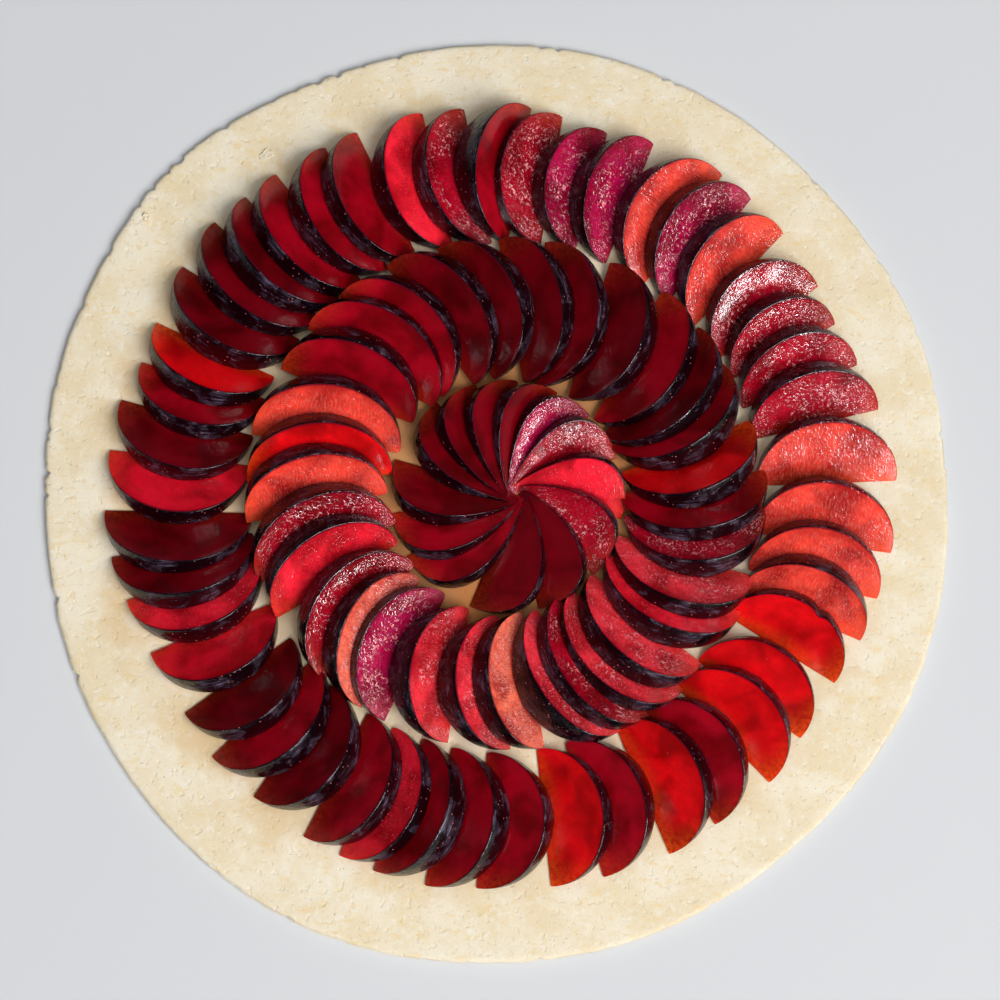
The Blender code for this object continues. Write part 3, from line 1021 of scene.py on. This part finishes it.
ROSETTE = {
    "name": "rosette",
    "slices": 13,
    "laid": CLOCKWISE,
    "first": math.radians(47),
    "close": (6, 9, 10, 11, 12),
    "wide": (1, 2, 3, 4, 8),
    "gap": (5,),
    "pairs": 0,
    "rests_on": 3,
    "seed": 23,
    "dent_seed": 300,
}
ROSETTE_CENTRE = Vector((1.8 * MM, -1.6 * MM, 0))
ROSETTE_MEETING = Vector((3.4 * MM, 0.4 * MM, 0))
ROSETTE_REACH = 42.4 * MM
ROSETTE_TIP = 0.4 * MM
ROSETTE_INNER_LAP = 3.0 * MM
ROSETTE_OUTER_LAP = 0.9 * MM
ROSETTE_ASIDE = 1.3 * MM
ROSETTE_WIDTH = 21.5 * MM
ROSETTE_WIDTH_SPREAD = 1
ROSETTE_TIP_WIDTH = 1.3 * MM
ROSETTE_POWER = 1.4
ROSETTE_PINCH = 0.42
ROSETTE_WEDGE = math.radians(20)
ROSETTE_FLESH = """
    magenta crimson scarlet crimson wine wine claret claret wine wine wine wine wine
""".split()


def rosette_slices(ring):
    rng = random.Random(ring["seed"])
    steps = steps_round(ring, rng)
    meeting = ROSETTE_CENTRE + ROSETTE_MEETING
    heading = ring["first"]
    slices = []
    for step in steps:
        along = Vector((math.cos(heading), math.sin(heading), 0))
        aside = along.dot(ROSETTE_MEETING)
        spread = ROSETTE_REACH**2 - ROSETTE_MEETING.length_squared
        reach = math.sqrt(aside**2 + spread) - aside
        half = (reach - ROSETTE_TIP) / 2
        centre = meeting + along * (ROSETTE_TIP + half + (ROSETTE_OUTER_LAP - ROSETTE_INNER_LAP) / 2)
        centre += Vector((along.y, -along.x, 0)) * ROSETTE_ASIDE
        half += (ROSETTE_OUTER_LAP + ROSETTE_INNER_LAP) / 2
        width = ROSETTE_WIDTH + rng.uniform(-ROSETTE_WIDTH_SPREAD, ROSETTE_WIDTH_SPREAD) * MM
        wedge = rng.gauss(ROSETTE_WEDGE, WEDGE_SPREAD)
        piece = Slice(centre, heading, -ring["laid"], half, width, wedge)
        piece.inner_tip_width = ROSETTE_TIP_WIDTH
        piece.inner_core_share = 1
        piece.inner_power = ROSETTE_POWER
        piece.pinch = ROSETTE_PINCH
        slices.append(piece)
        heading += ring["laid"] * step
    settle(slices, [step * ROSETTE_REACH / 2 for step in steps])
    return slices


lay_slices(ROSETTE, rosette_slices(ROSETTE), ROSETTE_FLESH)

# --------------------------------------------------
# The juice: it stands in flat beads on the wettest cut faces, where they lie open to the air.
# The beads are drawn out along the flesh, clear, and take the colour of the flesh under them, with a little
# pale pink painted on as sheen.
# --------------------------------------------------

BEADS_PER_SQUARE_METRE = 0.8e6
SMALLEST_BEAD = Vector((0.45, 0.28, 0.10)) * MM
LARGEST_BEAD = Vector((1.35, 0.50, 0.22)) * MM
BEAD_SPIN = 0.9
BEAD_SEED = 5
BEAD_PAINTED_SHEEN = (0.90, 0.40, 0.46, 1)
BEAD_SHEEN_SHARE = 0.08
# A bead or a crumb lies where no plum is over it, from just above it to the height of a hand.
CLEAR_ABOVE = 0.4 * MM
CLEAR_UP_TO = 100 * MM
# A cut face is all that is lifted this far up the wedge, and it is beaded out to near the skin.
FACE_LIFT = 0.985
BEADED_OUT_TO = 0.97
SCATTER_INPUTS = {
    "Density": "Float",
    "Smallest": "Vector",
    "Largest": "Vector",
    "Spin": "Float",
    "Seed": "Int",
}


def scatter_tree(name, share, material):
    """Scatters small balls on a mesh where it lies open to the sky, as dense as the share of a spot says."""
    tree, size = new_shaping(name, SCATTER_INPUTS)
    ground = size["Geometry"]
    spot = node_field(tree, "GeometryNodeInputPosition")
    values = {"Mesh": ground, "Density": size["Density"] * share(tree, spot), "Seed": size["Seed"]}
    points = node_field(tree, "GeometryNodeDistributePointsOnFaces", values, output="Points")
    facing = Field(tree, points.socket.node.outputs["Rotation"])
    x, y, z = parted(tree, spot)
    values = {
        "Target Geometry": ground,
        "Source Position": vector_of(tree, X=x, Y=y, Z=z + CLEAR_ABOVE),
        "Ray Direction": (0, 0, 1),
        "Ray Length": CLEAR_UP_TO,
    }
    covered = node_field(tree, "GeometryNodeRaycast", values, output="Is Hit")
    points = node_field(tree, "GeometryNodeDeleteGeometry", {"Geometry": points, "Selection": covered})
    values = {"Min": size["Spin"] * -1, "Max": size["Spin"], "Seed": size["Seed"]}
    angle = node_field(tree, "FunctionNodeRandomValue", values, data_type="FLOAT")
    spin = node_field(tree, "FunctionNodeAxisAngleToRotation", {"Axis": (0, 0, 1), "Angle": angle})
    values = {"Rotation": facing, "Rotate By": spin}
    facing = node_field(tree, "FunctionNodeRotateRotation", values, rotation_space="LOCAL")
    values = {"Min": size["Smallest"], "Max": size["Largest"], "Seed": size["Seed"]}
    scale = node_field(tree, "FunctionNodeRandomValue", values, data_type="FLOAT_VECTOR")
    ball = node_field(tree, "GeometryNodeMeshIcoSphere", {"Radius": 0.5, "Subdivisions": 1}, output="Mesh")
    values = {"Points": points, "Instance": ball, "Rotation": facing, "Scale": scale}
    balls = node_field(tree, "GeometryNodeInstanceOnPoints", values)
    put_out(tree, finish_shaping(tree, balls, material))
    return tree


def scattered(name, ground, tree, values):
    """A piece of the balls that a scatter tree lays on the ground mesh."""
    mesh = shaped_mesh(name, ground, tree, values)
    finish = mesh.materials[-1]
    mesh.materials.clear()
    mesh.materials.append(finish)
    return add_piece(name, mesh)


def juice_material():
    material, tree, shader, _ = new_material("plum_juice")
    # A little pale pink painted on the beads as sheen.
    colour = blended(tree, BEAD_SHEEN_SHARE, attribute(tree, "flesh_colour", "Color"), BEAD_PAINTED_SHEEN)
    set_shader(shader, Base_Color=colour, Roughness=0.08, Specular_IOR_Level=0.6)
    return material


def wet_share(tree, spot):
    """How much of a cut face is beaded: most where the slice is wet, in soft patches."""
    wet = parted(tree, carried(tree, "flesh_traits", "FLOAT_VECTOR"), "Y")[0]
    lifted = carried(tree, "lift").calculate("GREATER_THAN", FACE_LIFT)
    on_face = lifted * carried(tree, "out").calculate("LESS_THAN", BEADED_OUT_TO)
    patches = noise_field(tree, spot, scale=110).between(0.40, 0.62)
    return wet.between(0.20, 1.0) * on_face * patches.at_least(0.12)


plum_pieces = [piece for piece in bpy.data.objects if piece.name.startswith("plum_slice")]
all_plums = joined([piece.data.copy() for piece in plum_pieces], "all_plums")
values = {
    "Density": BEADS_PER_SQUARE_METRE,
    "Smallest": SMALLEST_BEAD,
    "Largest": LARGEST_BEAD,
    "Spin": BEAD_SPIN,
    "Seed": BEAD_SEED,
}
juice_tree = scatter_tree("juice_beads", wet_share, juice_material())
juice = scattered("juice_beads", all_plums, juice_tree, values)
bpy.data.meshes.remove(all_plums)
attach(juice, "root")

# --------------------------------------------------
# The crumbs: bits of dry flour and dough, left on the open rim by the rolling and the handling. They are
# pale and dull like the dough, and lie loose in drifts.
# --------------------------------------------------

CRUMBS_PER_SQUARE_METRE = 0.06e6
SMALLEST_CRUMB = Vector((0.18, 0.15, 0.10)) * MM
LARGEST_CRUMB = Vector((0.90, 0.60, 0.35)) * MM
CRUMB_SEED = 6
CRUMB_CREAM = (0.78, 0.66, 0.44, 1)
CRUMB_FLOUR = (0.88, 0.80, 0.64, 1)
BARE_FROM = 138.0 * MM
ON_TOP = 0.7 * DOUGH_THICKNESS


def crumb_material():
    material, tree, shader, spot = new_material("dry_crumbs")
    tone = noise_field(tree, spot, scale=900, detail=1).between(0.35, 0.65)
    colour = blended(tree, tone, CRUMB_CREAM, CRUMB_FLOUR)
    set_shader(shader, Base_Color=colour, Roughness=0.75, Specular_IOR_Level=0.25)
    return material


def crumb_share(tree, spot):
    """Crumbs lie in loose drifts on the flat of the rim."""
    x, y, z = parted(tree, spot)
    from_middle = (x * x + y * y).calculate("SQRT")
    drifts = noise_field(tree, spot, scale=45).between(0.48, 0.68)
    on_rim = from_middle.calculate("GREATER_THAN", BARE_FROM)
    return drifts * on_rim * z.calculate("GREATER_THAN", ON_TOP)


values = {
    "Density": CRUMBS_PER_SQUARE_METRE,
    "Smallest": SMALLEST_CRUMB,
    "Largest": LARGEST_CRUMB,
    "Spin": math.pi,
    "Seed": CRUMB_SEED,
}
dry_crumb = crumb_material()
crumb_tree = scatter_tree("rim_crumbs", crumb_share, dry_crumb)
crumbs = scattered("rim_crumbs", dough.data, crumb_tree, values)
place_piece(crumbs, "raw_dough")

# --------------------------------------------------
# The flakes: a torn flake of rolled dough on the rim's left, and three lumps of sugar and dough beside it.
# Each is a thin uneven disc with a ragged edge, pressed a little into the rim.
# --------------------------------------------------

# Where each lies, its length, width and thickness, all in millimetres, and its turn.
FLAKES = (
    ((-87.0, 127.0), (6.4, 3.6, 0.7), math.radians(35)),
    ((-131.3, 102.8), (3.4, 2.4, 1.1), math.radians(110)),
    ((17.0, 141.0), (1.8, 1.3, 0.9), math.radians(10)),
    ((21.5, 143.5), (1.3, 1.0, 0.7), math.radians(70)),
)
FLAKE_SIDES = 36
# Up its edge and in over its top: how far out, and how high, as shares of its size.
FLAKE_RINGS = ((1.0, 0.0), (0.99, 0.45), (0.92, 0.80), (0.78, 1.0), (0.40, 0.92))
# How deep and how fine the raggedness of the edge is, and the unevenness of the thickness.
FLAKE_BITES = (0.5, 1.9)
FLAKE_TEETH = (0.25, 6)
FLAKE_LUMPS = (0.5, 1.3)
FLAKE_SUNK = 0.5 * MM


def fine_noise(spot, depth, fineness, start=Vector()):
    """Noise of a depth and a fineness, from a place of its own."""
    return depth * noise.noise(spot * fineness + start)


def flake_mesh():
    """All the flakes as closed discs with a ragged edge."""
    bm = bmesh.new()
    for (x, y), (length, width, thickness), turn in FLAKES:
        rings = []
        for share, lift in FLAKE_RINGS:
            ring = []
            for i in range(FLAKE_SIDES):
                angle = math.tau * i / FLAKE_SIDES
                around = Vector((math.cos(angle), math.sin(angle), 0))
                bites = fine_noise(around, *FLAKE_BITES, Vector((x, y, 0)))
                ragged = 1 + bites + fine_noise(around, *FLAKE_TEETH)
                local = Vector((around.x * length, around.y * width, 0)) * ragged * share / 2
                local.rotate(Matrix.Rotation(turn, 3, "Z"))
                lump = fine_noise(local, *FLAKE_LUMPS, Vector((0, 0, x)))
                rise = thickness * lift + thickness * lump
                ring.append(bm.verts.new(Vector((x + local.x, y + local.y, rise)) * MM))
            rings.append(ring)
        shell_of(bm, rings)
    bmesh.ops.translate(bm, verts=bm.verts, vec=(0, 0, DOUGH_THICKNESS - FLAKE_SUNK))
    return closed_mesh(bm, "dough_flakes")


flakes = add_piece("dough_flakes", flake_mesh())
flakes.data.materials.append(dry_crumb)
place_piece(flakes, "raw_dough")

# --------------------------------------------------
# The setting: a plain pale floor, a large soft window on the near right, and a white ceiling's soft fill. A
# small low lamp shows only as a gleam on wet and glossy surfaces. The camera looks almost straight down.
# --------------------------------------------------

FLOOR_SIDE = 24.0
FLOOR_DROP = 0.2 * MM
FLOOR_WHITE = (0.69, 0.70, 0.72, 1)
LAMP_DISTANCE = 3.0
WINDOW_DIRECTION = math.radians(-46)
WINDOW_ELEVATION = math.radians(50)
WINDOW_WIDTH = 2.4
WINDOW_HEIGHT = 1.8
WINDOW_POWER = 90.0
WINDOW_WHITE = (1.0, 0.985, 0.96)
GLEAM_DIRECTION = math.radians(-42)
GLEAM_ELEVATION = math.radians(32)
GLEAM_WIDTH = 1.2
GLEAM_HEIGHT = 0.8
GLEAM_POWER = 160.0
GLEAM_WHITE = (0.96, 0.97, 1.0)
CEILING_SIDE = 3.0
CEILING_HEIGHT = 2.0
CEILING_POWER = 21.0
CEILING_WHITE = (0.93, 0.96, 1.0)
ROOM_BLUE = (0.80, 0.88, 1.0, 1)
ROOM_STRENGTH = 0.05
VIEW_TILT = math.radians(7.5)
VIEW_SIDE_TILT = math.radians(4.0)
VIEW_DISTANCE = 0.9
VIEW_WIDTH = 0.37
VIEW_AIM = Vector((-0.5 * MM, -2.6 * MM, 0))
SENSOR = 36.0
NEAREST_SEEN = 10 * MM

bpy.ops.mesh.primitive_plane_add(size=FLOOR_SIDE, location=(0, 0, -FLOOR_DROP))
floor = bpy.context.object
floor.name = "floor"
floor_material, _, floor_shader, _ = new_material("pale_floor")
set_shader(floor_shader, Base_Color=FLOOR_WHITE, Roughness=1.0, Specular_IOR_Level=0.0)
floor.data.materials.append(floor_material)


def add_area_light(name, width, depth, power, colour, placing):
    lamp = bpy.data.lights.new(name, "AREA")
    lamp.shape = "RECTANGLE"
    lamp.size = width
    lamp.size_y = depth
    lamp.energy = power
    lamp.color = colour
    light = bpy.data.objects.new(name, lamp)
    light.matrix_world = placing
    bpy.context.scene.collection.objects.link(light)
    return light


def facing_table(direction, elevation):
    """The place of a lamp that faces the middle of the table."""
    toward = Vector((math.cos(direction), math.sin(direction), math.tan(elevation))).normalized()
    return Matrix.Translation(toward * LAMP_DISTANCE) @ toward.to_track_quat("Z", "Y").to_matrix().to_4x4()


at_window = facing_table(WINDOW_DIRECTION, WINDOW_ELEVATION)
window = add_area_light("window", WINDOW_WIDTH, WINDOW_HEIGHT, WINDOW_POWER, WINDOW_WHITE, at_window)
window.visible_glossy = False
at_gleam = facing_table(GLEAM_DIRECTION, GLEAM_ELEVATION)
gleam = add_area_light("gleam", GLEAM_WIDTH, GLEAM_HEIGHT, GLEAM_POWER, GLEAM_WHITE, at_gleam)
gleam.visible_diffuse = False
overhead = Matrix.Translation((0, 0, CEILING_HEIGHT))
ceiling = add_area_light("ceiling", CEILING_SIDE, CEILING_SIDE, CEILING_POWER, CEILING_WHITE, overhead)
ceiling.visible_glossy = False

world = bpy.data.worlds.new("room")
world.use_nodes = True
room = world.node_tree.nodes["Background"]
room.inputs["Color"].default_value = ROOM_BLUE
room.inputs["Strength"].default_value = ROOM_STRENGTH
bpy.context.scene.world = world
bpy.context.scene.view_settings.view_transform = "Standard"

camera_data = bpy.data.cameras.new("camera")
camera_data.sensor_width = SENSOR
camera_data.lens = SENSOR * VIEW_DISTANCE / VIEW_WIDTH
camera_data.clip_start = NEAREST_SEEN
camera = bpy.data.objects.new("camera", camera_data)
bpy.context.scene.collection.objects.link(camera)
back = Vector((-math.tan(VIEW_SIDE_TILT), -math.tan(VIEW_TILT), 1)).normalized()
right = (Vector((1, 0, 0)) - back * back.x).normalized()
camera.matrix_world = (
    Matrix.Translation(VIEW_AIM + back * VIEW_DISTANCE)
    @ Matrix((right, back.cross(right), back)).transposed().to_4x4()
)
bpy.context.scene.camera = camera
